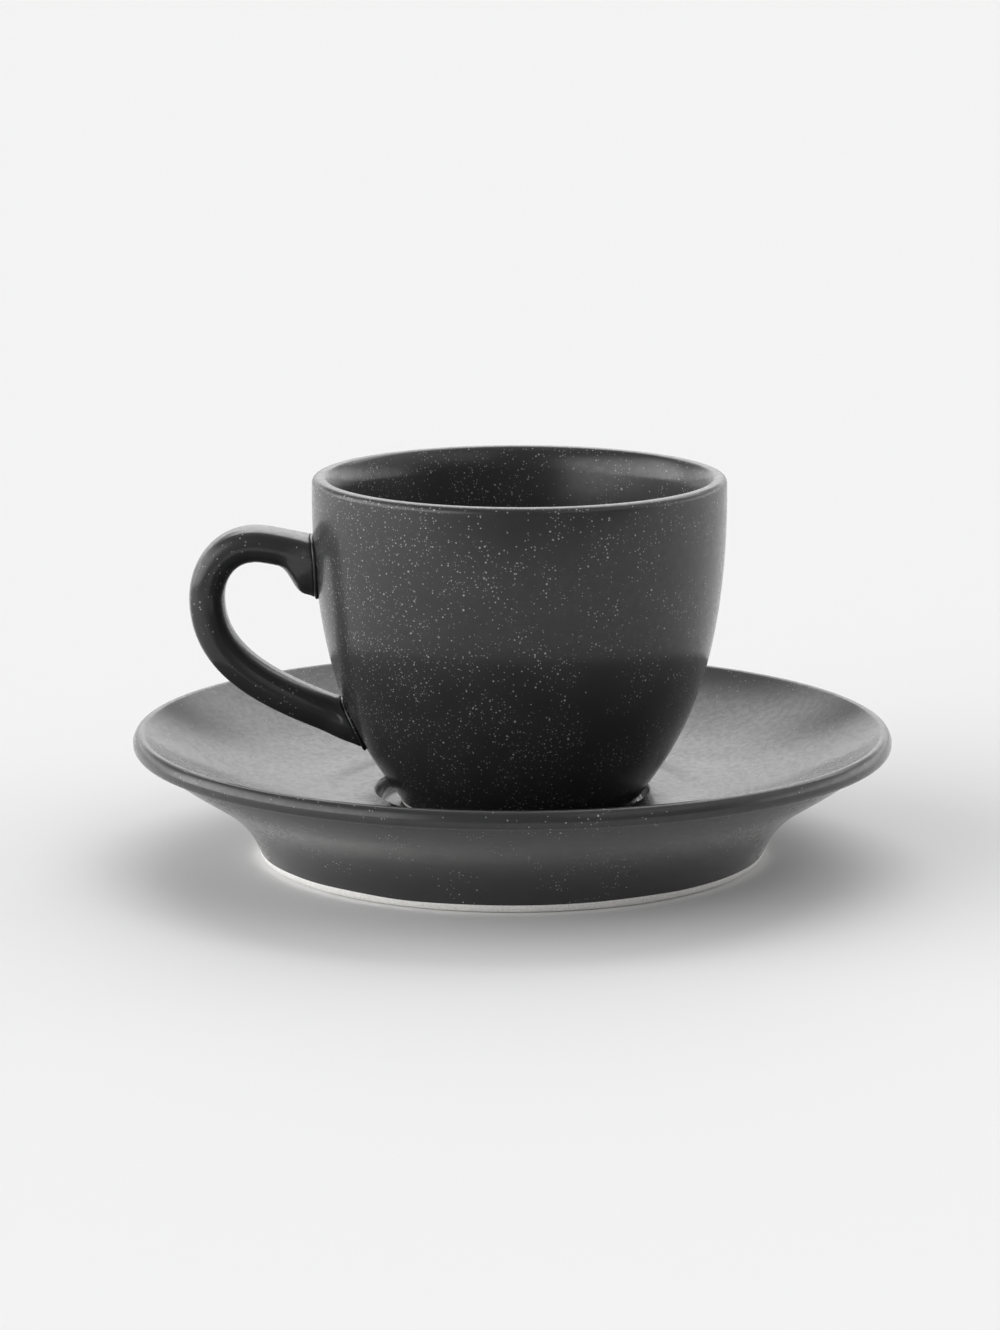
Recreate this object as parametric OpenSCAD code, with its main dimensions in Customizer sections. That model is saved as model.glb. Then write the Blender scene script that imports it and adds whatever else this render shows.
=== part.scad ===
// Espresso cup standing in the well of its saucer, in dark glazed stoneware.
// Millimetres, +Z up, origin on the saucer's axis at the table. The handle points along -X.

/* [Saucer] */
// Outside diameter of the saucer
saucer_d = 120; // [110:1:140]
// Height of the rim above the table
saucer_h = 20.4; // [18:0.1:26]
// Thickness of the rim at its outer face
rim_t = 2.9; // [2:0.1:3.6]
// Width of the domed top of the rim
rim_w = 1.6; // [1:0.1:3.2]
// How far the rim stands out beyond the skirt
rim_overhang = 2.1; // [1.2:0.1:3]
// Rounding of the rim's lower edge
rim_round = 0.9; // [0.3:0.1:1.2]
// Diameter of the skirt where the glaze ends, just above the bare foot
saucer_foot_d = 80.4; // [72:0.2:88]
// Height of the bare foot ring
saucer_ring_h = 1.4; // [0.8:0.1:2.2]
// Width of the bare foot ring where it meets the skirt
saucer_ring_w = 4.6; // [3.6:0.1:6]
// Rounding of the foot ring's outer lower edge
saucer_foot_round = 1.4; // [0.6:0.1:2]
// Height of the dish's floor above the table
floor_h = 10.4; // [9:0.1:12]
// Diameter of the flat floor, where the dish starts to rise
floor_d = 56; // [56:1:74]
// Depth of the well that takes the cup's foot
well_depth = 2.2; // [1:0.1:2.4]
// Side clearance between the cup's foot and the well
well_clear = 1.8; // [1.4:0.1:4]
// Width of the well's rounded wall, seen from above
well_wall_w = 1.5; // [1:0.1:3]
// Thickness of the clay under the well
well_t = 4; // [3:0.1:5]

/* [Cup] */
// Outside diameter of the cup at its lip
cup_d = 65.1; // [60:0.1:75]
// Height of the cup
cup_h = 52.4; // [46:0.1:64]
// Thickness of the wall under the rounded lip
lip_t = 3.8; // [2.2:0.1:4.6]
// Rounding of the lip's outer edge
lip_round = 1; // [0.4:0.1:1.4]
// Height over which the lip is rounded towards the inside
lip_fall = 4; // [2:0.1:6]
// Diameter of the bowl where the glaze ends, just above the bare foot
cup_foot_d = 37.6; // [33:0.2:42]
// Height of the bare foot ring
cup_ring_h = 0.8; // [0.5:0.1:1.4]
// Width of the bare foot ring where it meets the bowl
cup_ring_w = 3.2; // [2.4:0.1:4.4]
// Rounding of the foot ring's outer lower edge
cup_foot_round = 0.8; // [0.4:0.1:1.2]
// Depth of the hollow under the cup
cup_hollow = 1.6; // [1.2:0.1:2.4]
// Thickness of the clay under the coffee
cup_base_t = 4; // [3:0.1:6]

/* [Handle] */
// How far the handle stands out beyond the lip
handle_reach = 19.5; // [16:0.1:26]
// Thickness of the handle, seen from the side
handle_t = 5.6; // [4.5:0.1:6.5]
// Width of the handle, seen from its back
handle_w = 9.2; // [7:0.1:11]
// Drop from the lip to the middle of the upper joint
upper_joint_drop = 12.8; // [11:0.1:16]
// Height of the middle of the lower joint above the cup's foot
lower_joint_h = 13; // [11:0.1:16]
// Rise of the handle's top above the upper joint
handle_rise = 1.9; // [0.5:0.1:4]
// Slope of the handle where it leaves the upper joint, in degrees
upper_joint_angle = 14; // [5:0.5:25]
// Slope of the handle where it reaches the lower joint, in degrees
lower_joint_angle = 19; // [12:0.5:30]
// Extra depth under the handle at the upper joint
upper_flare = 3.4; // [2:0.1:5]
// Extra depth under the handle at the lower joint
lower_flare = 0.3; // [0.1:0.1:1.6]
// Extra depth on top of the handle at both joints
toe_flare = 0.1; // [0.1:0.1:0.8]
// Extra half width of the handle at both joints
side_flare = 0.7; // [0.2:0.1:1.4]
// Length over which the handle swells towards the upper joint
upper_flare_len = 5.3; // [3:0.1:8]
// Length over which the handle swells towards the lower joint
lower_flare_len = 5; // [3:0.1:8]
// Thickness of the slip between the handle and the bowl
slip_t = 0.5; // [0.3:0.05:0.9]
// How far the slip stands out round the end of the handle
slip_bead = 0.25; // [0.1:0.05:0.5]

/* [Hidden] */
$fn = 120;

glaze_colour = "#37373a";
clay_colour = "#d8d4cd";
slip_colour = "#2c2c2e";

// Hairline between the slip and the faces that it joins
joint_gap = 0.03;

// Steps along each curve, along a small rounding and along the handle
curve_steps = 32;
round_steps = 10;
handle_steps = 45;
// Halvings in the search for the place where the handle meets the bowl
halvings = 24;

// Share of the well's side clearance by which the cup stands off the saucer's axis
cup_shift_share = 0.61;
// Shares of the widths and heights that the side curves cover, at their two middle points
rim_edge_shares = [[0.6, 0], [0.92, 0.5]];
rim_top_shares = [[0.2, 0.82], [0.5, 1]];
skirt_shares = [[0.2, 0.55], [0.63, 0.61]];
dish_shares = [[0.33, 0.66], [0.66, 1]];
bowl_shares = [[0.216, 0.104], [1.04, 0.288]];
lip_shares = [[0.4, 0], [0.9, 0.5]];
inside_shares = [[0.88, 0], [0.83, 0.24]];
round_shares = [[0.6, 0], [0.97, 0.4]];
well_shares = [[0.5, 0], [0.5, 1]];
under_shares = [[0.5, 0], [0.9, 0.3]];
// Share of a foot ring's rounding that breaks its inner lower edge
inner_break_share = 0.45;
// Share of the handle's thickness by which its middle line runs on inside the bowl
root_share = 1.5;
// Place of the handle's top between the bowl and the handle's outermost point
handle_top_share = 0.54;
// Place of the handle's outermost point between the joints
handle_widest_share = 0.75;
// Pulls at the two ends of the handle's three curves, as shares of their straight lengths
handle_pull_shares = [[0.45, 0.16], [0.43, 0.39], [0.32, 0.48]];
// Half of the handle's section as shares of its half thickness and half width, from the back to the
// front: a softly domed back, an edge, a side with a soft ridge and a round face towards the finger
section_half_shares = [
  [1, 0.2],
  [0.975, 0.45],
  [0.88, 0.66],
  [0.76, 0.82],
  [0.43, 0.96],
  [0.2, 0.99],
  [0, 1],
  [-0.22, 0.965],
  [-0.55, 0.82],
  [-0.82, 0.56],
  [-0.96, 0.3],
];
// Rings that close the ends of the handle and the slip, as shares of the section
cap_shares = [1 / 3, 2 / 3];

saucer_r = saucer_d / 2;
saucer_foot_r = saucer_foot_d / 2;
well_floor_h = floor_h - well_depth;
well_floor_r = cup_foot_d / 2 + well_clear;
well_edge_r = well_floor_r + well_wall_w;
under_h = well_floor_h - well_t;
cup_shift = well_clear * cup_shift_share;

cup_r = cup_d / 2;
cup_foot_r = cup_foot_d / 2;
lip_h = cup_h - lip_round;
base_h = cup_hollow + cup_base_t;

function mix(a, b, s) = a + (b - a) * s;
function last_of(list) = list[len(list) - 1];
function tail_of(list) = [for (i = [1:len(list) - 1]) list[i]];
function backwards(list) = [for (i = [len(list) - 1:-1:0]) list[i]];

// Point of a cubic curve through the first and last of four points
function bezier(p, s) =
  let (r = 1 - s)
  p[0] * r * r * r + p[1] * 3 * r * r * s + p[2] * 3 * r * s * s + p[3] * s * s * s;

function bezier_slope(p, s) =
  let (r = 1 - s)
  (p[1] - p[0]) * r * r + (p[2] - p[1]) * 2 * r * s + (p[3] - p[2]) * s * s;

// Curve from a to b whose middle points are shares of the way across and up
function share_points(a, b, shares) = [
  a,
  [for (k = [0, 1]) mix(a[k], b[k], shares[0][k])],
  [for (k = [0, 1]) mix(a[k], b[k], shares[1][k])],
  b,
];

function share_curve(a, b, shares, steps) =
  let (p = share_points(a, b, shares))
  [for (i = [0:steps]) bezier(p, i / steps)];

function arc(centre, radius, from_angle, to_angle, steps) = [
  for (i = [0:steps])
    let (angle = mix(from_angle, to_angle, i / steps))
    centre + radius * [cos(angle), sin(angle)],
];

// Saucer profile: skirt, rim, dish, well and underside
rim_under_h = saucer_h - rim_t;
rim_edge = share_curve(
  [saucer_r - rim_round, rim_under_h],
  [saucer_r, rim_under_h + rim_round],
  rim_edge_shares,
  round_steps
);
rim_top = share_curve(
  [saucer_r, saucer_h - rim_t / 2],
  [saucer_r - rim_w, saucer_h],
  rim_top_shares,
  round_steps
);
skirt_top = [saucer_r - rim_overhang, rim_under_h];
skirt_foot = [saucer_foot_r, saucer_ring_h];
floor_edge = [floor_d / 2, floor_h];
ring_inner = [saucer_foot_r - saucer_ring_w, saucer_ring_h];
under_edge = [ring_inner[0] - saucer_ring_w, under_h];
saucer_profile = concat(
  share_curve(skirt_foot, skirt_top, skirt_shares, curve_steps),
  rim_edge,
  rim_top,
  tail_of(share_curve(last_of(rim_top), floor_edge, dish_shares, curve_steps)),
  share_curve([well_edge_r, floor_h], [well_floor_r, well_floor_h], well_shares, round_steps),
  [[0, well_floor_h], [0, under_h]],
  share_curve(under_edge, ring_inner, under_shares, round_steps)
);

// Bare foot ring, from its inner top edge round the face that it stands on
function foot_ring(top_r, height, width, rounding) =
  concat(
    [
      [top_r - width, height],
      [top_r - width + rounding * inner_break_share, 0],
    ],
    share_curve([top_r - rounding, 0], [top_r, height], round_shares, round_steps)
  );

// Cup profile, above the cup's own foot: bowl side, lip, inside and the hollow under the base
bowl_side = share_curve([cup_foot_r, cup_ring_h], [cup_r, lip_h], bowl_shares, curve_steps);
lip_inner = [cup_r - lip_t, cup_h - lip_fall];
lip = concat(
  arc([cup_r - lip_round, lip_h], lip_round, 0, 90, round_steps),
  tail_of(share_curve([cup_r - lip_round, cup_h], lip_inner, lip_shares, round_steps))
);
bowl_inside = share_curve([0, base_h], lip_inner, inside_shares, curve_steps);
cup_ring_inner_r = cup_foot_r - cup_ring_w;
cup_profile = concat(
  bowl_side,
  tail_of(lip),
  tail_of(backwards(bowl_inside)),
  [
    [0, cup_hollow],
    [cup_ring_inner_r - cup_ring_w / 2, cup_hollow],
    [cup_ring_inner_r, cup_ring_h],
  ]
);

// Radius of the bowl's outside at a height above the cup's foot
wall_table = [for (p = bowl_side) [p[1], p[0]]];
function wall_r(height) = lookup(height, wall_table);

// Middle line of the handle, as distance from the cup's axis and height above its foot
upper_joint = [wall_r(cup_h - upper_joint_drop), cup_h - upper_joint_drop];
lower_joint = [wall_r(lower_joint_h), lower_joint_h];
upper_way = [cos(upper_joint_angle), sin(upper_joint_angle)];
lower_way = [cos(lower_joint_angle), sin(lower_joint_angle)];
upper_root = upper_joint - upper_way * handle_t * root_share;
lower_root = lower_joint - lower_way * handle_t * root_share;
handle_out = cup_r + handle_reach - handle_t / 2;
handle_top = [mix(upper_joint[0], handle_out, handle_top_share), upper_joint[1] + handle_rise];
handle_widest = [handle_out, mix(lower_joint[1], upper_joint[1], handle_widest_share)];

// Curve between two points that leaves along one way and arrives along another
function pulled(a, leave, b, arrive, shares) =
  let (span = norm(b - a))
  [a, a + leave * span * shares[0], b - arrive * span * shares[1], b];

handle_curves = [
  pulled(upper_root, upper_way, handle_top, [1, 0], handle_pull_shares[0]),
  pulled(handle_top, [1, 0], handle_widest, [0, -1], handle_pull_shares[1]),
  pulled(handle_widest, [0, -1], lower_root, -lower_way, handle_pull_shares[2]),
];
handle_end = len(handle_curves);

// Swelling of the handle, 1 at a joint and in the bowl behind it, 0 beyond the flare's length
function flare(middle, joint, way, length, at_joint) =
  let (
    step = middle - joint,
    away = step * way > 0 ? min(length, norm(step)) : at_joint ? 0 : length
  )
  (1 + cos(180 * away / length)) / 2;

// Whole section of the handle, starting at the middle of its back
section_shares = concat(
  [[1, 0]],
  section_half_shares,
  [[-1, 0]],
  [for (spot = backwards(section_half_shares)) [spot[0], -spot[1]]]
);

// Point on the handle's skin: place along it, spot on its section, share of the section and growth
function handle_point(place, spot, section_share, growth) =
  let (
    part = min(floor(place), handle_end - 1),
    middle = bezier(handle_curves[part], place - part),
    slope = bezier_slope(handle_curves[part], place - part),
    along = slope / norm(slope),
    upper = flare(middle, upper_joint, upper_way, upper_flare_len, part == 0),
    lower = flare(middle, lower_joint, lower_way, lower_flare_len, part == handle_end - 1),
    back_half = handle_t / 2 + toe_flare * upper + lower_flare * lower + growth,
    front_half = handle_t / 2 + upper_flare * upper + toe_flare * lower + growth,
    side_half = handle_w / 2 + side_flare * (upper + lower) + growth,
    offset = section_share * spot[0] * (spot[0] > 0 ? back_half : front_half),
    side = middle + offset * [-along[1], along[0]]
  )
  [-side[0], section_share * spot[1] * side_half, side[1]];

// Place along the handle where a line of its skin is a given distance off the bowl
function meeting(spot, section_share, growth, off, inside, outside, left) =
  let (
    place = (inside + outside) / 2,
    p = handle_point(place, spot, section_share, growth),
    away = norm([p[0], p[1]]) - wall_r(p[2])
  )
  left == 0 ? place
  : away < off ? meeting(spot, section_share, growth, off, place, outside, left - 1)
  : meeting(spot, section_share, growth, off, inside, place, left - 1);

function end_place(is_upper, spot, section_share, growth, off) =
  is_upper
  ? meeting(spot, section_share, growth, off, 0, 1, halvings)
  : meeting(spot, section_share, growth, off, handle_end, handle_end - 1, halvings);

// Ring of skin points that lies a given distance off the bowl, at one end of the handle
function end_ring(is_upper, section_share, growth, off) = [
  for (spot = section_shares)
    handle_point(end_place(is_upper, spot, section_share, growth, off), spot, section_share, growth),
];
function end_pole(is_upper, off) =
  handle_point(end_place(is_upper, [0, 0], 0, 0, off), [0, 0], 0, 0);

// Closed skin over a row of rings, with a point at each end
module skin(rings, first_pole, last_pole) {
  sides = len(rings[0]);
  count = len(rings);
  points = concat([first_pole], [for (ring = rings) each ring], [last_pole]);
  last = len(points) - 1;
  faces = concat(
    [for (k = [0:sides - 1]) [0, 1 + (k + 1) % sides, 1 + k]],
    [
      for (i = [0:count - 2], k = [0:sides - 1])
        let (
          a = 1 + i * sides + k,
          b = 1 + i * sides + (k + 1) % sides
        )
        each [[a, b, b + sides], [a, b + sides, a + sides]],
    ],
    [for (k = [0:sides - 1]) [last, last - sides + k, last - sides + (k + 1) % sides]]
  );
  polyhedron(points, faces, convexity = 6);
}

// Handle from bowl to bowl, each end a hairline off its slip
handle_off = slip_t + 2 * joint_gap;
upper_start = [for (spot = section_shares) end_place(true, spot, 1, 0, handle_off)];
lower_stop = [for (spot = section_shares) end_place(false, spot, 1, 0, handle_off)];
handle_rings = [
  for (i = [0:handle_steps])
    [
      for (k = [0:len(section_shares) - 1])
        handle_point(mix(upper_start[k], lower_stop[k], i / handle_steps), section_shares[k], 1, 0),
    ],
];

// Pad of slip between one end of the handle and the bowl, with a rounded bead round it
module slip_pad(is_upper) {
  bowl_off = joint_gap;
  handle_side_off = joint_gap + slip_t;
  rings = concat(
    [for (share = cap_shares) end_ring(is_upper, share, 0, bowl_off)],
    [
      end_ring(is_upper, 1, slip_bead / 2, bowl_off),
      end_ring(is_upper, 1, slip_bead, (bowl_off + handle_side_off) / 2),
      end_ring(is_upper, 1, slip_bead / 2, handle_side_off),
    ],
    [for (share = backwards(cap_shares)) end_ring(is_upper, share, 0, handle_side_off)]
  );
  bowl_pole = end_pole(is_upper, bowl_off);
  handle_pole = end_pole(is_upper, handle_side_off);
  if (is_upper)
    skin(rings, bowl_pole, handle_pole);
  else
    skin(backwards(rings), handle_pole, bowl_pole);
}

// Stands the cup in the well, off the saucer's axis
module in_well() {
  translate([cup_shift, 0, well_floor_h]) children();
}

module saucer_dish() {
  color(glaze_colour) rotate_extrude() polygon(saucer_profile);
}

module saucer_foot_ring() {
  color(clay_colour) rotate_extrude()
    polygon(foot_ring(saucer_foot_r, saucer_ring_h, saucer_ring_w, saucer_foot_round));
}

module cup_body() {
  color(glaze_colour) in_well() rotate_extrude() polygon(cup_profile);
}

module cup_foot_ring() {
  color(clay_colour) in_well() rotate_extrude()
    polygon(foot_ring(cup_foot_r, cup_ring_h, cup_ring_w, cup_foot_round));
}

module cup_handle() {
  color(glaze_colour) in_well() skin(
    concat(
      [for (share = cap_shares) end_ring(true, share, 0, handle_off)],
      handle_rings,
      [for (share = backwards(cap_shares)) end_ring(false, share, 0, handle_off)]
    ),
    end_pole(true, handle_off),
    end_pole(false, handle_off)
  );
}

module upper_handle_joint() {
  color(slip_colour) in_well() slip_pad(true);
}

module lower_handle_joint() {
  color(slip_colour) in_well() slip_pad(false);
}

saucer_dish();
saucer_foot_ring();
cup_body();
cup_foot_ring();
cup_handle();
upper_handle_joint();
lower_handle_joint();
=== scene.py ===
"""Espresso cup standing in the well of its saucer, in dark speckled stoneware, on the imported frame.

Metres, +Z up, origin on the saucer's axis at the table. The handle points along -X.
"""
import math

import bmesh
import bpy
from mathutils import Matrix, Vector, noise
from mathutils.bvhtree import BVHTree
from mathutils.geometry import interpolate_bezier


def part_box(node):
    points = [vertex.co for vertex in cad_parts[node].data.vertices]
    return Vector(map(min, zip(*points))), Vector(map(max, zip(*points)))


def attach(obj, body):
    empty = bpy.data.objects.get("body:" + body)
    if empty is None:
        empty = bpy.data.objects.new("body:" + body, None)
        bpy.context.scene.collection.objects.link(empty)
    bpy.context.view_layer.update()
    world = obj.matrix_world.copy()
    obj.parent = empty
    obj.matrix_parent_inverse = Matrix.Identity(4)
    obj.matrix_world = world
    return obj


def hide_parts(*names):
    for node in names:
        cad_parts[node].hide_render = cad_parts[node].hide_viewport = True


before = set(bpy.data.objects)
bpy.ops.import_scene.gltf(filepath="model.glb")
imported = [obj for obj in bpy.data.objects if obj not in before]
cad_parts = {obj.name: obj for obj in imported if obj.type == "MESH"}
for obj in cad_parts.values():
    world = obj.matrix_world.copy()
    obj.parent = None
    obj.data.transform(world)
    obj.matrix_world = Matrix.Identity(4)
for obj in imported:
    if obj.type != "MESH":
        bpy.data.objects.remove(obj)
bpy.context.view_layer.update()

MM = 0.001

# Sizes that the frame gives
dish_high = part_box("saucer_dish")[1]
saucer_ring_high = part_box("saucer_foot_ring")[1]
bowl_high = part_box("cup_body")[1]
cup_ring_low, cup_ring_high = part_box("cup_foot_ring")
handle_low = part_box("cup_handle")[0]

SAUCER_R = dish_high.x
SAUCER_H = dish_high.z
SAUCER_FOOT_R = saucer_ring_high.x
SAUCER_RING_H = saucer_ring_high.z
CUP_X = (cup_ring_low.x + cup_ring_high.x) / 2
CUP_Z = cup_ring_low.z
CUP_FOOT_R = cup_ring_high.x - CUP_X
CUP_RING_H = cup_ring_high.z - CUP_Z
CUP_R = bowl_high.x - CUP_X
CUP_H = bowl_high.z - CUP_Z
HANDLE_OUT = CUP_X - handle_low.x

# Forms of the saucer
RIM_T = 2.9 * MM
RIM_W = 1.6 * MM
RIM_OVERHANG = 2.1 * MM
RIM_ROUND = 0.9 * MM
SAUCER_RING_W = 4.6 * MM
SAUCER_FOOT_ROUND = 1.4 * MM
FLOOR_H = 10.4 * MM
FLOOR_R = 28 * MM
WELL_CLEAR = 1.8 * MM
WELL_WALL_W = 1.5 * MM
WELL_T = 4 * MM
RIM_EDGE_SHARES = ((0.6, 0), (0.92, 0.5))
RIM_TOP_SHARES = ((0.2, 0.82), (0.5, 1))
SKIRT_SHARES = ((0.2, 0.55), (0.63, 0.61))
DISH_SHARES = ((0.33, 0.66), (0.66, 1))
WELL_SHARES = ((0.5, 0), (0.5, 1))
UNDER_SHARES = ((0.5, 0), (0.9, 0.3))

# Forms of the cup
LIP_T = 3.8 * MM
LIP_ROUND = 1 * MM
LIP_LEVEL = 0.7 * MM
LIP_FALL = 4 * MM
CUP_RING_W = 3.2 * MM
CUP_FOOT_ROUND = 0.8 * MM
CUP_HOLLOW = 1.6 * MM
CUP_BASE_T = 4 * MM
BOWL_SHARES = ((0.216, 0.104), (1.04, 0.288))
LIP_SHARES = ((0.4, 0), (0.9, 0.5))
INSIDE_SHARES = ((0.88, 0), (0.83, 0.24))
FOOT_ROUND_SHARES = ((0.6, 0), (0.97, 0.4))
FOOT_BREAK_SHARE = 0.45

# Forms of the handle
HANDLE_T = 5.6 * MM
HANDLE_W = 9.2 * MM
UPPER_JOINT_DROP = 12.8 * MM
LOWER_JOINT_H = 13 * MM
HANDLE_RISE = 1.9 * MM
UPPER_JOINT_ANGLE = math.radians(14)
LOWER_JOINT_ANGLE = math.radians(19)
UPPER_FLARE = 3.4 * MM
LOWER_FLARE = 0.3 * MM
TOE_FLARE = 0.1 * MM
SIDE_FLARE = 0.7 * MM
UPPER_FLARE_LEN = 5.3 * MM
LOWER_FLARE_LEN = 5 * MM
ROOT_SHARE = 1.5
HANDLE_TOP_SHARE = 0.54
HANDLE_WIDEST_SHARE = 0.75
HANDLE_PULLS = ((0.45, 0.16), (0.43, 0.39), (0.32, 0.48))
# Half of the handle's section, from the middle of its domed back round a ridged side to its front:
# shares of the half thickness and half width, and how far each corner is rounded
SECTION_CORNERS = (
    (1, 0), (0.98, 0.45), (0.84, 0.82), (0.45, 0.97), (-0.04, 1.02), (-0.64, 0.84), (-1, 0.42), (-1, 0),
)
SECTION_ROUNDS = (0.8 * MM, 0.55 * MM, 0.5 * MM, 0.6 * MM, 0.9 * MM, 1.2 * MM)

# Ends of the handle and the slip that holds them: distances off the bowl, each with its swelling
END_ROLL = ((1.3, 0), (1.0, 0.03), (0.8, 0.07), (0.66, 0.06), (0.58, 0), (0.55, -0.15), (0.54, -0.6))
SLIP_BEAD = ((-0.05, -0.1), (0, 0.12), (0.12, 0.22), (0.26, 0.26), (0.4, 0.22), (0.52, 0.1), (0.56, -0.15))

# Small roundings of the glaze, and the waves of its edge above the bare foot
GLAZE_ROUND = 0.35 * MM
ROUND_PULL = 0.6
GLAZE_WAVE = 0.18 * MM
GLAZE_WAVES_PER_M = 90

# Colours
GLAZE_DARK = (0.021, 0.021, 0.0214)
GLAZE_LIGHT = (0.027, 0.027, 0.0275)
SPECK_COLOUR = (0.36, 0.36, 0.355)
CLAY_DARK = (0.66, 0.65, 0.62)
CLAY_LIGHT = (0.84, 0.83, 0.81)

# Fineness of the meshes
TURN_STEPS = 192
CURVE_POINTS = 40
ROUND_POINTS = 10
HANDLE_STEPS = 110
SAME_PLACE = 0.001 * MM
CREASE = math.radians(40)

# Camera
CAMERA_DISTANCE = 708.9 * MM
CAMERA_TILT = math.radians(11.397)
AIM = Vector((-1.954, 0, 30.23)) * MM
LENS = 121.28

# Studio light, in degrees: azimuth from straight behind, to the right, and elevation above the floor.
# The room is dim, and each softbox adds its strength to it.
ROOM = 0.18
SOFTBOXES = (
    {"azimuth": (-130, 100), "elevation": (2, 18), "edge": 8, "strength": 1.2},
    {"azimuth": (-14, 14), "elevation": (17, 32), "edge": 6, "strength": 1.5},
    {"azimuth": (-148, -60), "elevation": (-10, 36), "edge": 14, "strength": 3.2},
    {"azimuth": (-28, 48), "elevation": (30, 66), "edge": 8, "strength": 2.45},
    {"azimuth": (40, 110), "elevation": (-10, 25), "edge": 12, "strength": 0.75},
    {"azimuth": (60, 160), "elevation": (28, 60), "edge": 10, "strength": 0.8},
    {"azimuth": (-220, 220), "elevation": (66, 100), "edge": 8, "strength": 0.3},
)
FLOOR_RADIUS = 12
FLOOR_DROP = 0.02 * MM
FLOOR_COLOUR = (0.865, 0.865, 0.865, 1)
# Painted reflection: the share of the floor that glossy rays see as a glow of its own colour, which lifts its
# shadow in the glaze near the object, and where that glow fades far in front into a painted dim room
FLOOR_PAINTED_REFLECTION = 0.1
FRONT_NEAR = 140 * MM
FRONT_FAR = 350 * MM
FRONT_PAINTED_DIM = 0.04
FRONT_PAINTED_REFLECTION = 0.85


# Curves

def point(radius, height):
    return Vector((radius, 0, height))


def between(a, b, shares):
    """Point that lies given shares of the way across and up from a to b."""
    return point(a.x + (b.x - a.x) * shares[0], a.z + (b.z - a.z) * shares[1])


def share_curve(a, b, shares, count):
    """Curve from a to b whose two middle points are shares of the way across and up."""
    return interpolate_bezier(a, between(a, b, shares[0]), between(a, b, shares[1]), b, count)


def arc(centre, radius, from_angle, to_angle):
    step = (to_angle - from_angle) / (ROUND_POINTS - 1)
    turns = [math.radians(from_angle + step * i) for i in range(ROUND_POINTS)]
    return [centre + radius * point(math.cos(turn), math.sin(turn)) for turn in turns]


def eased_corner(before, corner, after, reach):
    """Small curve that replaces a corner between two neighbouring points."""
    a = corner + (before - corner).normalized() * reach
    b = corner + (after - corner).normalized() * reach
    return interpolate_bezier(a, a.lerp(corner, ROUND_PULL), b.lerp(corner, ROUND_PULL), b, ROUND_POINTS)


def joined(first, second, reach):
    """Two lines that meet in a corner, joined with a small rounding."""
    corner = second[0]
    before = [p for p in first if (p - corner).length > reach]
    after = [p for p in second if (p - corner).length > reach]
    return [*before, *eased_corner(before[-1], corner, after[0], reach), *after]


# Turned pieces

def turn(profile, axis_x=0.0, base_z=0.0, closed=False):
    """Spins a profile of radius and height once round an upright axis."""
    shape = bmesh.new()
    corner = Vector((axis_x, 0, base_z))
    verts = [shape.verts.new(corner + p) for p in profile]
    pairs = list(zip(verts, verts[1:])) + ([(verts[-1], verts[0])] if closed else [])
    edges = [shape.edges.new(pair) for pair in pairs]
    bmesh.ops.spin(
        shape, geom=verts + edges, cent=corner, axis=(0, 0, 1),
        angle=2 * math.pi, steps=TURN_STEPS, use_merge=True,
    )
    bmesh.ops.remove_doubles(shape, verts=shape.verts, dist=SAME_PLACE)
    bmesh.ops.recalc_face_normals(shape, faces=shape.faces)
    return shape


def wavy_edge(shape, axis_x, radius, height):
    """Lets the edge where the glaze ends wander a little up and down, as a dipped edge does."""
    for vert in shape.verts:
        across = Vector((vert.co.x - axis_x, vert.co.y))
        if abs(vert.co.z - height) < SAME_PLACE and abs(across.length - radius) < SAME_PLACE:
            vert.co.z += GLAZE_WAVE * noise.noise(vert.co * GLAZE_WAVES_PER_M)
    return shape


def saucer_profile():
    """Underside, skirt, rim, dish and well of the saucer."""
    under_h = CUP_Z - WELL_T
    rim_under_h = SAUCER_H - RIM_T
    ring_inner = point(SAUCER_FOOT_R - SAUCER_RING_W, SAUCER_RING_H)
    skirt_top = point(SAUCER_R - RIM_OVERHANG, rim_under_h)
    rim_face_low = point(SAUCER_R, rim_under_h + RIM_ROUND)
    rim_face_top = point(SAUCER_R, SAUCER_H - RIM_T / 2)
    crest = point(SAUCER_R - RIM_W, SAUCER_H)
    well_floor = point(CUP_FOOT_R + WELL_CLEAR, CUP_Z)
    skirt = share_curve(point(SAUCER_FOOT_R, SAUCER_RING_H), skirt_top, SKIRT_SHARES, CURVE_POINTS)
    rim = [
        skirt_top,
        *share_curve(point(SAUCER_R - RIM_ROUND, rim_under_h), rim_face_low, RIM_EDGE_SHARES, ROUND_POINTS),
        *share_curve(rim_face_top, crest, RIM_TOP_SHARES, 2 * ROUND_POINTS),
    ]
    dish = share_curve(crest, point(FLOOR_R, FLOOR_H), DISH_SHARES, CURVE_POINTS)
    return [
        point(0, under_h),
        *share_curve(point(ring_inner.x - SAUCER_RING_W, under_h), ring_inner, UNDER_SHARES, ROUND_POINTS),
        *joined(joined(skirt, rim, GLAZE_ROUND), dish, GLAZE_ROUND),
        *share_curve(point(well_floor.x + WELL_WALL_W, FLOOR_H), well_floor, WELL_SHARES, ROUND_POINTS),
        point(0, CUP_Z),
    ]


def foot_profile(top_r, height, width, rounding):
    """Bare foot ring, from its inner top edge round the face that it stands on."""
    return [
        point(top_r - width, height),
        point(top_r - width + rounding * FOOT_BREAK_SHARE, 0),
        *share_curve(point(top_r - rounding, 0), point(top_r, height), FOOT_ROUND_SHARES, ROUND_POINTS),
    ]


def bowl_side():
    """Outside of the bowl, from the bare foot up to the rounding of the lip."""
    foot = point(CUP_FOOT_R, CUP_RING_H)
    return share_curve(foot, point(CUP_R, CUP_H - LIP_ROUND), BOWL_SHARES, CURVE_POINTS)


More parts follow.
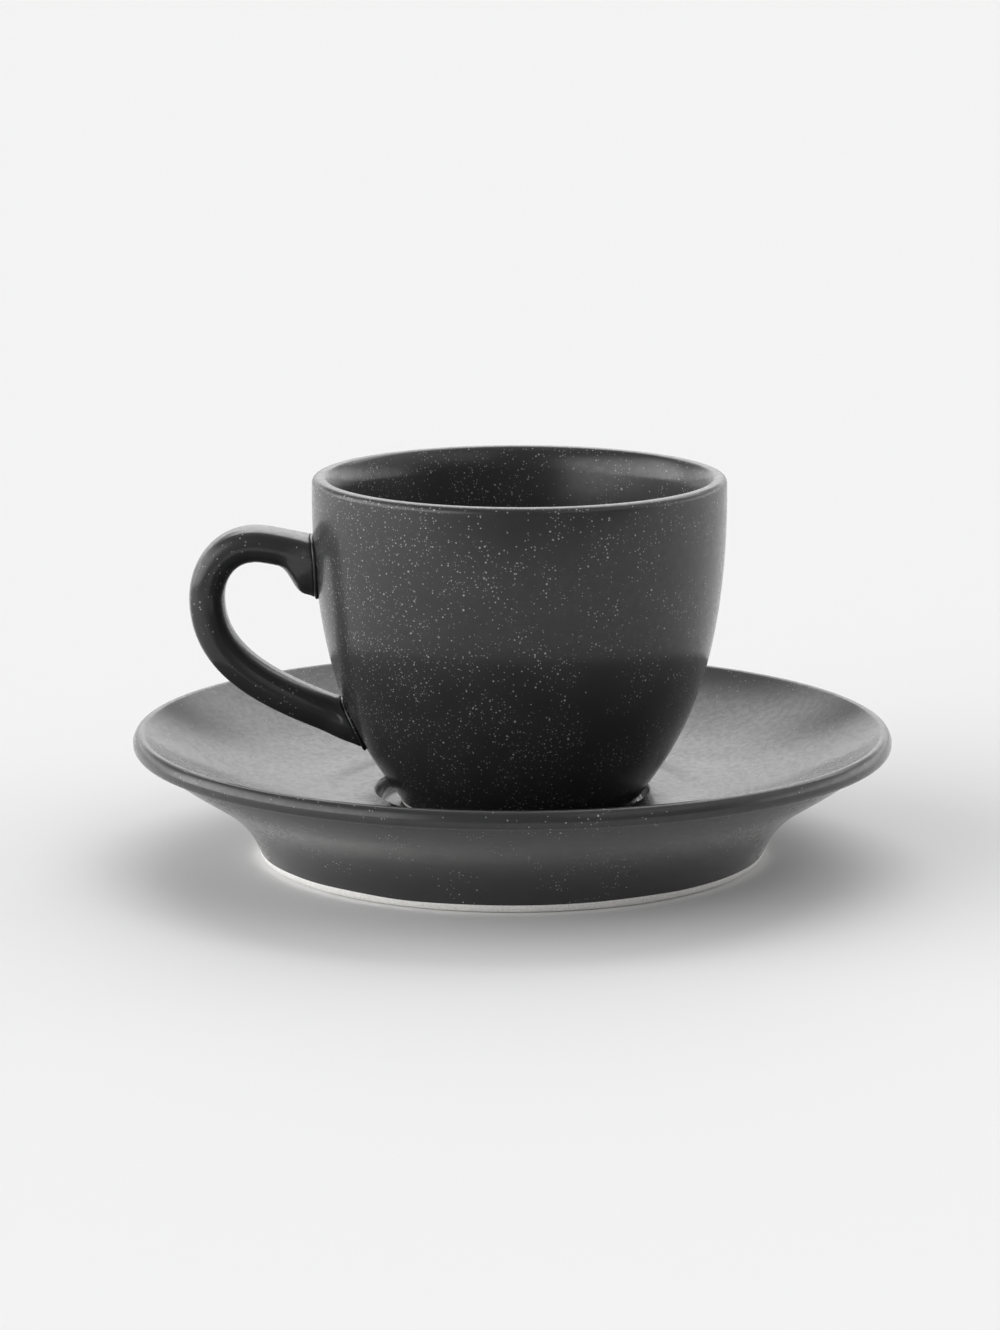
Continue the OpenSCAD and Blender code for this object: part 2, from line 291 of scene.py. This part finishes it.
def cup_profile():
    """Inside, lip that is rounded inwards, outside and hollow underside of the bowl."""
    crest = point(CUP_R - LIP_ROUND - LIP_LEVEL, CUP_H)
    inner_lip = share_curve(crest, point(CUP_R - LIP_T, CUP_H - LIP_FALL), LIP_SHARES, 2 * ROUND_POINTS)
    outer_lip = arc(point(CUP_R - LIP_ROUND, CUP_H - LIP_ROUND), LIP_ROUND, 90, 0)
    ring_inner_r = CUP_FOOT_R - CUP_RING_W
    return [
        *share_curve(point(0, CUP_HOLLOW + CUP_BASE_T), inner_lip[-1], INSIDE_SHARES, CURVE_POINTS)[:-1],
        *reversed(inner_lip),
        *outer_lip,
        *reversed(bowl_side()[:-1]),
        point(ring_inner_r, CUP_RING_H),
        point(ring_inner_r - CUP_RING_W / 2, CUP_HOLLOW),
        point(0, CUP_HOLLOW),
    ]


# Handle

def wall_r(height):
    """Radius of the bowl's outside at a height above the cup's foot."""
    side = bowl_side()
    low, high = next(pair for pair in zip(side, side[1:]) if pair[0].z <= height <= pair[1].z)
    return low.lerp(high, (height - low.z) / (high.z - low.z)).x


def pulled(a, leave, b, arrive, pulls):
    """Curve between two points that leaves along one way and arrives along another."""
    span = (b - a).length
    return interpolate_bezier(
        a, a + leave * span * pulls[0], b - arrive * span * pulls[1], b, HANDLE_STEPS // 3,
    )


def handle_line():
    """Middle line of the handle, with its two joints, as distance from the cup's axis and height."""
    upper = point(wall_r(CUP_H - UPPER_JOINT_DROP), CUP_H - UPPER_JOINT_DROP)
    lower = point(wall_r(LOWER_JOINT_H), LOWER_JOINT_H)
    upper_way = point(math.cos(UPPER_JOINT_ANGLE), math.sin(UPPER_JOINT_ANGLE))
    lower_way = point(math.cos(LOWER_JOINT_ANGLE), math.sin(LOWER_JOINT_ANGLE))
    root = HANDLE_T * ROOT_SHARE
    out = HANDLE_OUT - HANDLE_T / 2
    top = point(upper.x + (out - upper.x) * HANDLE_TOP_SHARE, upper.z + HANDLE_RISE)
    widest = point(out, lower.z + (upper.z - lower.z) * HANDLE_WIDEST_SHARE)
    outwards, down = point(1, 0), point(0, -1)
    line = [
        *pulled(upper - upper_way * root, upper_way, top, outwards, HANDLE_PULLS[0]),
        *pulled(top, outwards, widest, down, HANDLE_PULLS[1])[1:],
        *pulled(widest, down, lower - lower_way * root, -lower_way, HANDLE_PULLS[2])[1:],
    ]
    return line, (upper, upper_way), (lower, lower_way)


def flare(middle, joint, length, near):
    """Swelling of the handle: 1 at a joint and in the bowl behind it, 0 beyond the flare's length."""
    place, way = joint
    step = middle - place
    if step.dot(way) > 0:
        away = min(length, step.length)
    else:
        away = 0 if near else length
    return (1 + math.cos(math.pi * away / length)) / 2


def handle_section():
    """Section of the handle as shares of its half thickness and half width, all the way round."""
    half_size = Vector((HANDLE_T / 2, HANDLE_W / 2, 0))
    corners = [Vector((out * half_size.x, side * half_size.y, 0)) for out, side in SECTION_CORNERS]
    half = [corners[0]]
    for before, corner, after, reach in zip(corners, corners[1:], corners[2:], SECTION_ROUNDS):
        half += eased_corner(before, corner, after, reach)
    half.append(corners[-1])
    half = [(p.x / half_size.x, p.y / half_size.y) for p in half]
    return half + [(out, -side) for out, side in reversed(half[1:-1])]


def in_cup(spot, side=0.0):
    """Place in the frame of a point given by its distance from the cup's axis towards the handle."""
    return Vector((CUP_X - spot.x, side, CUP_Z + spot.z))


def handle_rings():
    """Middle points of the handle, and its section at each of them."""
    line, upper_joint, lower_joint = handle_line()
    section = handle_section()
    rings = []
    for i, middle in enumerate(line):
        along = (line[min(i + 1, len(line) - 1)] - line[max(i - 1, 0)]).normalized()
        out = point(-along.z, along.x)
        upper = flare(middle, upper_joint, UPPER_FLARE_LEN, i < len(line) / 2)
        lower = flare(middle, lower_joint, LOWER_FLARE_LEN, i > len(line) / 2)
        back = HANDLE_T / 2 + TOE_FLARE * upper + LOWER_FLARE * lower
        front = HANDLE_T / 2 + UPPER_FLARE * upper + TOE_FLARE * lower
        side = HANDLE_W / 2 + SIDE_FLARE * (upper + lower)
        rings.append([
            in_cup(middle + out * outwards * (back if outwards > 0 else front), sideways * side)
            for outwards, sideways in section
        ])
    return [in_cup(middle) for middle in line], rings


def run_into(line, middles, skin):
    """Runs a line of the handle's skin up to the bowl and ends it in a small roll just off it."""
    for i, (a, b) in enumerate(zip(line, line[1:])):
        hit, normal, _, _ = skin.ray_cast(a, (b - a).normalized(), (b - a).length)
        if hit:
            break
    back = (a - b).normalized()
    rise = back.dot(normal)
    out = a - middles[i]
    out = (out - back * out.dot(back)).normalized()
    roll = [hit + back * (off * MM / rise) + out * (swelling * MM) for off, swelling in END_ROLL]
    start = (roll[0] - hit).length
    kept = [p for p in line[:i + 1] if (p - hit).length > start]
    return [*kept, roll[0]], roll[1:], (hit, normal)


def spread(line, count):
    """Evenly spaced points along a line of points."""
    lengths = [(b - a).length for a, b in zip(line, line[1:])]
    step = sum(lengths) / (count - 1)
    places, done, i = [], 0.0, 0
    for k in range(count):
        while i < len(lengths) - 1 and done + lengths[i] < k * step:
            done += lengths[i]
            i += 1
        places.append(line[i].lerp(line[i + 1], (k * step - done) / lengths[i]))
    return places


def handle_lines(bowl_skin):
    """Lines along the handle's skin from bowl to bowl, and where they meet it above and below."""
    middles, rings = handle_rings()
    half = len(rings) // 2
    lines, upper_ends, lower_ends = [], [], []
    for line in zip(*rings):
        upper, upper_roll, upper_end = run_into(line[half::-1], middles[half::-1], bowl_skin)
        lower, lower_roll, lower_end = run_into(line[half:], middles[half:], bowl_skin)
        evenly = spread([*reversed(upper), *lower[1:]], HANDLE_STEPS)
        lines.append([*reversed(upper_roll), *evenly, *lower_roll])
        upper_ends.append(upper_end)
        lower_ends.append(lower_end)
    return lines, upper_ends, lower_ends


def slip_rings(ends):
    """Rings of the bead of slip that fills the joint between the bowl and an end of the handle."""
    middle = sum((hit for hit, _ in ends), Vector()) / len(ends)
    lines = []
    for hit, normal in ends:
        out = hit - middle
        out = (out - normal * out.dot(normal)).normalized()
        lines.append([hit + (normal * off + out * swelling) * MM for off, swelling in SLIP_BEAD])
    return list(zip(*lines))


def run_section(rings):
    """Closed skin over a row of rings, made by drawing the first ring out from place to place."""
    shape = bmesh.new()
    verts = bmesh.ops.create_circle(shape, segments=len(rings[0]), radius=MM)["verts"]
    first = edges = list(shape.edges)
    for vert, place in zip(verts, rings[0]):
        vert.co = place
    for ring in rings[1:]:
        made = bmesh.ops.extrude_edge_only(shape, edges=edges)["geom"]
        fresh = {g for g in made if isinstance(g, bmesh.types.BMVert)}
        verts = [next(far for e in v.link_edges if (far := e.other_vert(v)) in fresh) for v in verts]
        edges = [g for g in made if isinstance(g, bmesh.types.BMEdge) and fresh.issuperset(g.verts)]
        for vert, place in zip(verts, ring):
            vert.co = place
    bmesh.ops.holes_fill(shape, edges=first + edges, sides=0)
    bmesh.ops.recalc_face_normals(shape, faces=shape.faces)
    return shape


# Finished pieces

def piece(name, shape, body, material, node):
    mesh = bpy.data.meshes.new(name)
    shape.to_mesh(mesh)
    shape.free()
    mesh.shade_smooth()
    mesh.set_sharp_from_angle(angle=CREASE)
    mesh.materials.append(material)
    made = bpy.data.objects.new(name, mesh)
    bpy.context.collection.objects.link(made)
    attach(made, body)
    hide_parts(node)


# Materials

def wire(tree, kind, feeds=None, **settings):
    """Adds a node, with its settings, and feeds its sockets with values or with other nodes' outputs."""
    made = tree.nodes.new(kind)
    for name, value in settings.items():
        setattr(made, name, value)
    for socket, value in (feeds or {}).items():
        if isinstance(value, bpy.types.NodeSocket):
            tree.links.new(value, made.inputs[socket])
        else:
            made.inputs[socket].default_value = value
    return made


def sums(tree, operation, a, b=0.0):
    return wire(tree, "ShaderNodeMath", {0: a, 1: b}, operation=operation).outputs["Value"]


def fade(tree, value, start, finish, low=0.0, high=1.0):
    """Soft change from low to high while a value goes from start to finish."""
    feeds = {"Value": value, "From Min": start, "From Max": finish, "To Min": low, "To Max": high}
    return wire(tree, "ShaderNodeMapRange", feeds, interpolation_type="SMOOTHSTEP").outputs["Result"]


def per_mm(tree, place, scale):
    feeds = {0: place, "Scale": scale / MM}
    return wire(tree, "ShaderNodeVectorMath", feeds, operation="SCALE").outputs["Vector"]


def grain(tree, place, scale, detail):
    feeds = {"Vector": per_mm(tree, place, scale), "Scale": 1, "Detail": detail}
    return wire(tree, "ShaderNodeTexNoise", feeds).outputs["Fac"]


def colour_ramp(tree, value, *stops):
    made = wire(tree, "ShaderNodeValToRGB", {"Fac": value})
    for element, (position, shade) in zip(made.color_ramp.elements, stops):
        element.position = position
        element.color = (*shade, 1)
    return made.outputs["Color"]


def bump(tree, height, depth, strength, under=None):
    feeds = {"Height": height, "Distance": depth, "Strength": strength}
    if under:
        feeds["Normal"] = under
    return wire(tree, "ShaderNodeBump", feeds).outputs["Normal"]


def new_group(name, inputs, outputs):
    """Empty node group, with its inputs as sockets and a way to set its outputs."""
    tree = bpy.data.node_groups.new(name, "ShaderNodeTree")
    for socket, kind in inputs.items():
        tree.interface.new_socket(socket, in_out="INPUT", socket_type=kind)
    for socket in outputs:
        tree.interface.new_socket(socket, in_out="OUTPUT", socket_type="NodeSocketFloat")
    return tree, wire(tree, "NodeGroupInput").outputs


def speck_layer(tree, place, crowd, cell, small, large):
    """Round specks of several sizes and shades, one in each cell, and fewer where the crowd is thin."""
    cells = wire(tree, "ShaderNodeTexVoronoi", {"Vector": per_mm(tree, place, 1 / cell), "Scale": 1})
    chance = wire(tree, "ShaderNodeSeparateColor", {"Color": cells.outputs["Color"]}).outputs
    reach = fade(tree, chance["Green"], 0, 1, small / cell, large / cell)
    dot = fade(tree, cells.outputs["Distance"], sums(tree, "MULTIPLY", reach, 0.4), reach, 1, 0)
    shade = fade(tree, chance["Blue"], 0, 1, 0.4, 1)
    present = sums(tree, "LESS_THAN", chance["Red"], crowd)
    return sums(tree, "MULTIPLY", sums(tree, "MULTIPLY", dot, shade), present)


def speck_group():
    """Pale specks in the glaze, gathered in clouds."""
    tree, given = new_group(
        "glaze_specks", {"Place": "NodeSocketVector", "Crowding": "NodeSocketFloat"}, ("Specks", "Cloud"),
    )
    place = given["Place"]
    cloud = grain(tree, place, 0.13, 4)
    crowd = sums(tree, "ADD", fade(tree, cloud, 0.32, 0.68, -0.45, 0.45), given["Crowding"])
    fine = speck_layer(tree, place, crowd, 0.45, 0.07, 0.16)
    coarse = speck_layer(tree, place, crowd, 1.1, 0.1, 0.23)
    wire(tree, "NodeGroupOutput", {"Specks": sums(tree, "MAXIMUM", fine, coarse), "Cloud": cloud})
    return tree


def surface_group():
    """Unevenness of a turned and dipped surface: soft ripples of the glaze and faint turning rings."""
    tree, given = new_group("turned_surface", {"Place": "NodeSocketVector"}, ("Ripple", "Rings"))
    place = given["Place"]
    part = wire(tree, "ShaderNodeSeparateXYZ", {0: place}).outputs
    flat = wire(tree, "ShaderNodeCombineXYZ", {"X": part["X"], "Y": part["Y"]}).outputs["Vector"]
    radius = wire(tree, "ShaderNodeVectorMath", {0: flat}, operation="LENGTH").outputs["Value"]
    rings = wire(tree, "ShaderNodeCombineXYZ", {"X": radius, "Z": part["Z"]}).outputs["Vector"]
    feeds = {"Ripple": grain(tree, place, 0.3, 3), "Rings": grain(tree, rings, 0.45, 2)}
    wire(tree, "NodeGroupOutput", feeds)
    return tree


def glaze(name, axis_x, left_crowding, right_crowding, coat_roughness):
    """Satin charcoal glaze, with specks that thin out from the handle's side to the other side."""
    material = bpy.data.materials.new(name)
    material.use_nodes = True
    tree = material.node_tree
    place = wire(tree, "ShaderNodeTexCoord").outputs["Object"]
    feeds = {"Vector": place, "Location": (-axis_x, 0, 0)}
    centred = wire(tree, "ShaderNodeMapping", feeds).outputs["Vector"]
    across = wire(tree, "ShaderNodeSeparateXYZ", {0: centred}).outputs["X"]
    crowding = fade(tree, across, -CUP_R, CUP_R, left_crowding, right_crowding)
    specks = wire(tree, "ShaderNodeGroup", {"Place": place, "Crowding": crowding}, node_tree=speck_tree)
    surface = wire(tree, "ShaderNodeGroup", {"Place": centred}, node_tree=surface_tree)
    ground = colour_ramp(tree, specks.outputs["Cloud"], (0.3, GLAZE_DARK), (0.7, GLAZE_LIGHT))
    feeds = {"Factor": specks.outputs["Specks"], 6: ground, 7: (*SPECK_COLOUR, 1)}
    shade = wire(tree, "ShaderNodeMix", feeds, data_type="RGBA").outputs[2]
    shader = tree.nodes["Principled BSDF"]
    tree.links.new(shade, shader.inputs["Base Color"])
    tree.links.new(fade(tree, specks.outputs["Cloud"], 0.3, 0.7, 0.45, 0.5), shader.inputs["Roughness"])
    rings = bump(tree, surface.outputs["Rings"], 0.02 * MM, 0.5)
    tree.links.new(bump(tree, surface.outputs["Ripple"], 0.05 * MM, 0.6, rings), shader.inputs["Normal"])
    shader.inputs["IOR"].default_value = 1.38
    shader.inputs["Specular IOR Level"].default_value = 0.4
    tree.links.new(fade(tree, grain(tree, place, 1.1, 3), 0.3, 0.7, 0.68, 0.96), shader.inputs["Coat Weight"])
    shader.inputs["Coat Roughness"].default_value = coat_roughness
    shader.inputs["Coat IOR"].default_value = 1.38
    return material


def bare_clay():
    """Pale unglazed stoneware with a fine sandy grain."""
    material = bpy.data.materials.new("bare_clay")
    material.use_nodes = True
    tree = material.node_tree
    place = wire(tree, "ShaderNodeTexCoord").outputs["Object"]
    sand = grain(tree, place, 4, 4)
    shader = tree.nodes["Principled BSDF"]
    shade = colour_ramp(tree, sand, (0.3, CLAY_DARK), (0.6, CLAY_LIGHT))
    tree.links.new(shade, shader.inputs["Base Color"])
    tree.links.new(fade(tree, sand, 0.3, 0.7, 0.8, 0.95), shader.inputs["Roughness"])
    tree.links.new(bump(tree, sand, 0.05 * MM, 0.4), shader.inputs["Normal"])
    return material


# Stage

def floor():
    """Plain pale floor that keeps the shadow. Glossy rays see a painted reflection: partly a glow of the
    floor's own colour, which goes dim far in front as a painted dim room.
    """
    shape = bmesh.new()
    bmesh.ops.create_circle(shape, cap_ends=True, segments=64, radius=FLOOR_RADIUS)
    bmesh.ops.translate(shape, verts=shape.verts, vec=(0, 0, -FLOOR_DROP))
    mesh = bpy.data.meshes.new("floor")
    shape.to_mesh(mesh)
    shape.free()
    material = bpy.data.materials.new("pale_floor")
    material.use_nodes = True
    tree = material.node_tree
    shader = tree.nodes["Principled BSDF"]
    shader.inputs["Base Color"].default_value = FLOOR_COLOUR
    shader.inputs["Roughness"].default_value = 0.9
    shader.inputs["Specular IOR Level"].default_value = 0
    # Painted reflection: glossy rays see the floor partly as an emission of its colour, at full strength near
    # the object and nearly black far in front
    mirrored = wire(tree, "ShaderNodeLightPath").outputs["Is Glossy Ray"]
    place = wire(tree, "ShaderNodeTexCoord").outputs["Object"]
    ahead = wire(tree, "ShaderNodeSeparateXYZ", {0: place}).outputs["Y"]
    level = fade(tree, ahead, -FRONT_FAR, -FRONT_NEAR, FRONT_PAINTED_DIM, 1)
    share = fade(tree, ahead, -FRONT_FAR, -FRONT_NEAR, FRONT_PAINTED_REFLECTION, FLOOR_PAINTED_REFLECTION)
    painted_glow = wire(tree, "ShaderNodeEmission", {"Color": FLOOR_COLOUR, "Strength": level}).outputs["Emission"]
    feeds = {"Fac": sums(tree, "MULTIPLY", mirrored, share), 1: shader.outputs["BSDF"], 2: painted_glow}
    seen = wire(tree, "ShaderNodeMixShader", feeds).outputs["Shader"]
    tree.links.new(seen, tree.nodes["Material Output"].inputs["Surface"])
    mesh.materials.append(material)
    made = bpy.data.objects.new("floor", mesh)
    bpy.context.collection.objects.link(made)


def studio_light():
    """Dome of soft light: a dim room with softboxes behind, to both sides and overhead."""
    world = bpy.data.worlds.new("studio")
    bpy.context.scene.world = world
    world.use_nodes = True
    tree = world.node_tree
    way = wire(tree, "ShaderNodeTexCoord").outputs["Generated"]
    part = wire(tree, "ShaderNodeSeparateXYZ", {0: way}).outputs
    azimuth = sums(tree, "ARCTAN2", part["X"], part["Y"])
    elevation = sums(tree, "ARCSINE", part["Z"])

    def span(angle, limits, edge):
        """1 between two angles and 0 beyond them, with soft edges."""
        low, high = limits
        rise = fade(tree, angle, math.radians(low - edge), math.radians(low + edge))
        fall = fade(tree, angle, math.radians(high - edge), math.radians(high + edge), 1, 0)
        return sums(tree, "MULTIPLY", rise, fall)

    light = ROOM
    for box in SOFTBOXES:
        across = span(azimuth, box["azimuth"], box["edge"])
        up = span(elevation, box["elevation"], box["edge"])
        lit = sums(tree, "MULTIPLY", sums(tree, "MULTIPLY", across, up), box["strength"])
        light = sums(tree, "ADD", light, lit)
    background = tree.nodes["Background"]
    background.inputs["Color"].default_value = (1, 1, 1, 1)
    tree.links.new(light, background.inputs["Strength"])


def camera():
    made = bpy.data.objects.new("camera", bpy.data.cameras.new("camera"))
    made.data.lens = LENS
    made.data.clip_start = 10 * MM
    back = Vector((0, -math.cos(CAMERA_TILT), math.sin(CAMERA_TILT)))
    made.location = AIM + back * CAMERA_DISTANCE
    made.rotation_euler = (math.pi / 2 - CAMERA_TILT, 0, 0)
    bpy.context.collection.objects.link(made)
    bpy.context.scene.camera = made


camera()
floor()
studio_light()
speck_tree = speck_group()
surface_tree = surface_group()
cup_glaze = glaze("cup_glaze", CUP_X, 0.8, 0.32, 0.18)
handle_glaze = glaze("handle_glaze", CUP_X, 0.05, 0.05, 0.13)
saucer_glaze = glaze("saucer_glaze", 0, 0.07, 0.05, 0.13)
clay = bare_clay()

dish = wavy_edge(turn(saucer_profile()), 0, SAUCER_FOOT_R, SAUCER_RING_H)
piece("saucer_glazed", dish, "saucer", saucer_glaze, "saucer_dish")
saucer_foot = turn(foot_profile(SAUCER_FOOT_R, SAUCER_RING_H, SAUCER_RING_W, SAUCER_FOOT_ROUND), closed=True)
saucer_foot = wavy_edge(saucer_foot, 0, SAUCER_FOOT_R, SAUCER_RING_H)
piece("saucer_bare_foot", saucer_foot, "saucer", clay, "saucer_foot_ring")

bowl = turn(cup_profile(), CUP_X, CUP_Z)
lines, upper_ends, lower_ends = handle_lines(BVHTree.FromBMesh(bowl))
piece("cup_bowl", bowl, "cup", cup_glaze, "cup_body")
cup_foot = turn(foot_profile(CUP_FOOT_R, CUP_RING_H, CUP_RING_W, CUP_FOOT_ROUND), CUP_X, CUP_Z, closed=True)
piece("cup_bare_foot", cup_foot, "cup", clay, "cup_foot_ring")
piece("cup_loop_handle", run_section(list(zip(*lines))), "cup", handle_glaze, "cup_handle")
upper_slip = run_section(slip_rings(upper_ends))
piece("upper_slip", upper_slip, "cup", handle_glaze, "upper_handle_joint")
lower_slip = run_section(slip_rings(lower_ends))
piece("lower_slip", lower_slip, "cup", handle_glaze, "lower_handle_joint")

bpy.context.scene.view_settings.view_transform = "Standard"
